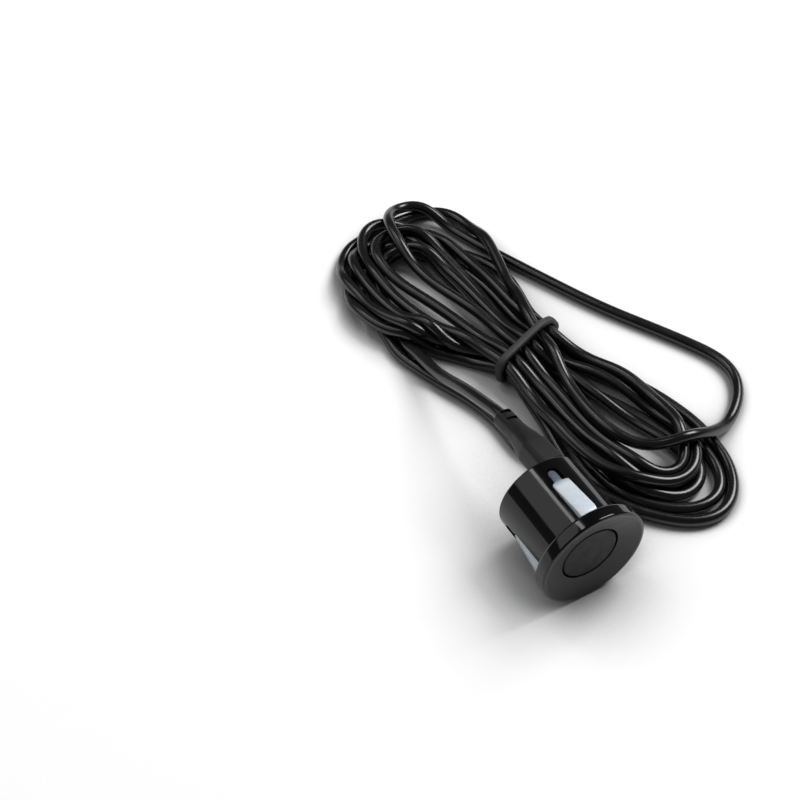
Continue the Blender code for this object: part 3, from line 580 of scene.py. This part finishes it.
MATERIALS = {
    "shell_plastic": shell_plastic(),
    "clear_rubber": clear_rubber(),
    "painted_face": moulded("charcoal_paint", (0.012, 0.012, 0.014), (0.017, 0.017, 0.020),
                            (0.50, 0.62), 5000, 0.008, 0.25),
    "ceramic": moulded("piezo_ceramic", (0.42, 0.36, 0.27), (0.52, 0.46, 0.36), (0.45, 0.6)),
    "felt": moulded("grey_felt", grey(0.18), grey(0.30), (0.9, 1.0), 1500, 0.2),
    "black_plastic": moulded("inner_black_plastic", grey(0.012), grey(0.022), (0.35, 0.5)),
    "plug_plastic": moulded("plug_black_plastic", grey(0.010), grey(0.018), (0.28, 0.40), 3000, 0.006),
    "tinned_metal": metal("tinned_brass", (0.72, 0.70, 0.66), (0.22, 0.36)),
    "black_rubber": moulded("black_rubber", grey(0.006), grey(0.012), (0.5, 0.65), 2000, 0.02),
    "red_wire": moulded("red_wire_skin", (0.36, 0.015, 0.012), (0.48, 0.02, 0.016), (0.35, 0.5)),
    "white_wire": moulded("white_wire_skin", grey(0.62), grey(0.74), (0.35, 0.5)),
    "boot_vinyl": moulded("boot_grey_vinyl", grey(0.004), grey(0.007), (0.42, 0.52), 3200, 0.008, 0.30),
    "cable_vinyl": cable_vinyl(),
    "tie_rubber": moulded("tie_rubber", grey(0.030), grey(0.050), (0.55, 0.7), 1800, 0.03),
}


def dress(piece, slot):
    """Gives the piece the material of the slot."""
    piece.data.materials.clear()
    piece.data.materials.append(MATERIALS[slot])


# Smooth surfaces on the nodes that keep their shape

def smoothing_group():
    """Joins a node's split corners and shades it smooth, with its sharp edges kept."""
    group = bpy.data.node_groups.new("smooth_by_angle", "GeometryNodeTree")
    group.interface.new_socket("Geometry", in_out="INPUT", socket_type="NodeSocketGeometry")
    group.interface.new_socket("Geometry", in_out="OUTPUT", socket_type="NodeSocketGeometry")
    nodes, links = group.nodes, group.links
    start = nodes.new("NodeGroupInput")
    plain = nodes.new("GeometryNodeRemoveAttribute")
    plain.inputs["Name"].default_value = "custom_normal"
    merge = nodes.new("GeometryNodeMergeByDistance")
    merge.inputs["Distance"].default_value = MERGE_GAP * MM
    faces = nodes.new("GeometryNodeSetShadeSmooth")
    faces.domain = "FACE"
    angle = nodes.new("GeometryNodeInputMeshEdgeAngle")
    sharp = nodes.new("FunctionNodeCompare")
    sharp.operation = "GREATER_THAN"
    sharp.inputs["B"].default_value = math.radians(SHARP_EDGE)
    edges = nodes.new("GeometryNodeSetShadeSmooth")
    edges.domain = "EDGE"
    edges.inputs["Shade Smooth"].default_value = False
    end = nodes.new("NodeGroupOutput")
    links.new(start.outputs[0], plain.inputs["Geometry"])
    links.new(plain.outputs["Geometry"], merge.inputs["Geometry"])
    links.new(merge.outputs["Geometry"], faces.inputs["Geometry"])
    links.new(faces.outputs["Geometry"], edges.inputs["Geometry"])
    links.new(angle.outputs["Unsigned Angle"], sharp.inputs["A"])
    links.new(sharp.outputs["Result"], edges.inputs["Selection"])
    links.new(edges.outputs["Geometry"], end.inputs[0])
    return group


def dress_nodes():
    """Each node keeps its shape and gets its slot's material and smooth shading."""
    group = smoothing_group()
    for node in NODES.values():
        dress(node, node.data.materials[0].name)
        modifier = node.modifiers.new("smooth", "NODES")
        modifier.node_group = group
        weighted = node.modifiers.new("flat_faces_stay_flat", "WEIGHTED_NORMAL")
        weighted.weight = 100
        weighted.keep_sharp = True


# Stage, light and camera

def seen_as_background(tree):
    """1 for rays from the camera and for reflected and transmitted rays, otherwise 0."""
    rays = tree.nodes.new("ShaderNodeLightPath")
    value = rays.outputs["Is Camera Ray"]
    for kind in ("Is Glossy Ray", "Is Transmission Ray"):
        either = tree.nodes.new("ShaderNodeMath")
        either.operation = "MAXIMUM"
        tree.links.new(value, either.inputs[0])
        tree.links.new(rays.outputs[kind], either.inputs[1])
        value = either.outputs[0]
    return value


def paper_material():
    """White paper that glows, with painted shade: the glow fades out where the object hides the paper
    (ambient occlusion), darkening crevices and the paper next to the object. Far from the object it
    turns white.
    """
    material = bpy.data.materials.new("paper")
    material.use_nodes = True
    tree = material.node_tree
    tree.nodes.remove(tree.nodes["Principled BSDF"])
    paper = tree.nodes.new("ShaderNodeBsdfDiffuse")
    paper.inputs["Color"].default_value = (PAPER_COLOUR, PAPER_COLOUR, PAPER_COLOUR, 1)
    # Painted shade: ambient occlusion takes the glow away where the object hides the paper, darkening
    # crevices and the paper between the parts
    hidden = tree.nodes.new("ShaderNodeAmbientOcclusion")
    hidden.samples = HIDING_SAMPLES
    hidden.inputs["Distance"].default_value = HIDING_REACH * MM
    glow_outside_painted_shade = spread(tree, hidden.outputs["AO"], 0, 1, *PAINTED_SHADE_OPENNESS)
    place = tree.nodes.new("ShaderNodeTexCoord")
    away = tree.nodes.new("ShaderNodeVectorMath")
    away.operation = "LENGTH"
    tree.links.new(place.outputs["Object"], away.inputs[0])
    level = spread(tree, away.outputs["Value"], PAPER_GLOW, 1, *TURNS_WHITE)
    glow = tree.nodes.new("ShaderNodeEmission")
    glowing = product(tree, product(tree, seen_as_background(tree), level), glow_outside_painted_shade)
    tree.links.new(glowing, glow.inputs["Strength"])
    add = tree.nodes.new("ShaderNodeAddShader")
    tree.links.new(paper.outputs[0], add.inputs[0])
    tree.links.new(glow.outputs[0], add.inputs[1])
    tree.links.new(add.outputs[0], tree.nodes["Material Output"].inputs["Surface"])
    return material


def floor():
    """The paper that the object lies on, which keeps its cast shadow and also gets painted shade next
    to the object.
    """
    mesh = bpy.data.meshes.new("floor")
    side = PAPER_HALF_SIDE
    mesh.from_pydata([(-side, -side, 0), (side, -side, 0), (side, side, 0), (-side, side, 0)],
                     [], [(0, 1, 2, 3)])
    piece = bpy.data.objects.new("floor", mesh)
    piece.location.z = -PAPER_DROP
    bpy.context.scene.collection.objects.link(piece)
    mesh.materials.append(paper_material())


def studio_sky():
    """A dim sky, a little lighter at the horizon."""
    world = bpy.data.worlds.new("studio")
    bpy.context.scene.world = world
    world.use_nodes = True
    tree = world.node_tree
    place = tree.nodes.new("ShaderNodeTexCoord")
    parts = tree.nodes.new("ShaderNodeSeparateXYZ")
    ramp = tree.nodes.new("ShaderNodeValToRGB")
    tree.links.new(place.outputs["Generated"], parts.inputs[0])
    tree.links.new(parts.outputs["Z"], ramp.inputs[0])
    tree.links.new(ramp.outputs["Color"], tree.nodes["Background"].inputs["Color"])
    stops = ramp.color_ramp.elements
    while len(stops) < len(SKY):
        stops.new(0.5)
    for stop, (height, level) in zip(stops, SKY):
        stop.position = height
        stop.color = (level, level, level, 1)


# Lamps: the way towards each, its distance, width and length in metres, share of the light
LAMPS = {
    "right": ((0.66, 0.06, 0.75), 1.1, 0.55, 0.55, 0.86),
    "strip": ((-0.15, 0.47, 0.87), 1.1, 0.12, 0.44, 0.08),
    "panel": ((-0.53, 0.48, 0.70), 1.2, 1.05, 0.80, 0.20),
}


def lamps():
    """Soft boxes, each aimed at the middle of the object."""
    middle = (CAD_BOX[0] + CAD_BOX[1]) / 2
    for name, (way, distance, width, length, share) in LAMPS.items():
        data = bpy.data.lights.new(name, "AREA")
        data.shape = "RECTANGLE"
        data.size = width
        data.size_y = length
        data.energy = share * (math.pi * distance) ** 2
        lamp = bpy.data.objects.new(name, data)
        way = Vector(way).normalized()
        lamp.location = middle + way * distance
        lamp.rotation_euler = way.to_track_quat("Z", "Y").to_euler()
        bpy.context.scene.collection.objects.link(lamp)


def camera():
    """The photograph's viewpoint."""
    data = bpy.data.cameras.new("camera")
    data.lens = LENS
    data.clip_start = 0.01
    piece = bpy.data.objects.new("camera", data)
    place, aim = Vector(CAMERA_PLACE) * MM, Vector(CAMERA_AIM) * MM
    piece.location = place
    piece.rotation_euler = (aim - place).to_track_quat("-Z", "Y").to_euler()
    bpy.context.scene.collection.objects.link(piece)
    bpy.context.scene.camera = piece


def build_cable_and_tie():
    """The free cable in one piece, and the band that holds its hank."""
    route = cable_route()
    cable = round_curve("cable", route, CABLE_RADIUS, CABLE_RESOLUTION)
    tie = tie_band(route)
    dress(cable, "cable_vinyl")
    dress(tie, "tie_rubber")
    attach(cable, "root")
    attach(tie, "root")
    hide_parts("cable_head_end", "cable_hank", "cable_loose_loop", "cable_plug_end")
    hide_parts("hank_tie")


dress_nodes()
build_cable_and_tie()
floor()
studio_sky()
lamps()
camera()
bpy.context.scene.view_settings.view_transform = "Standard"
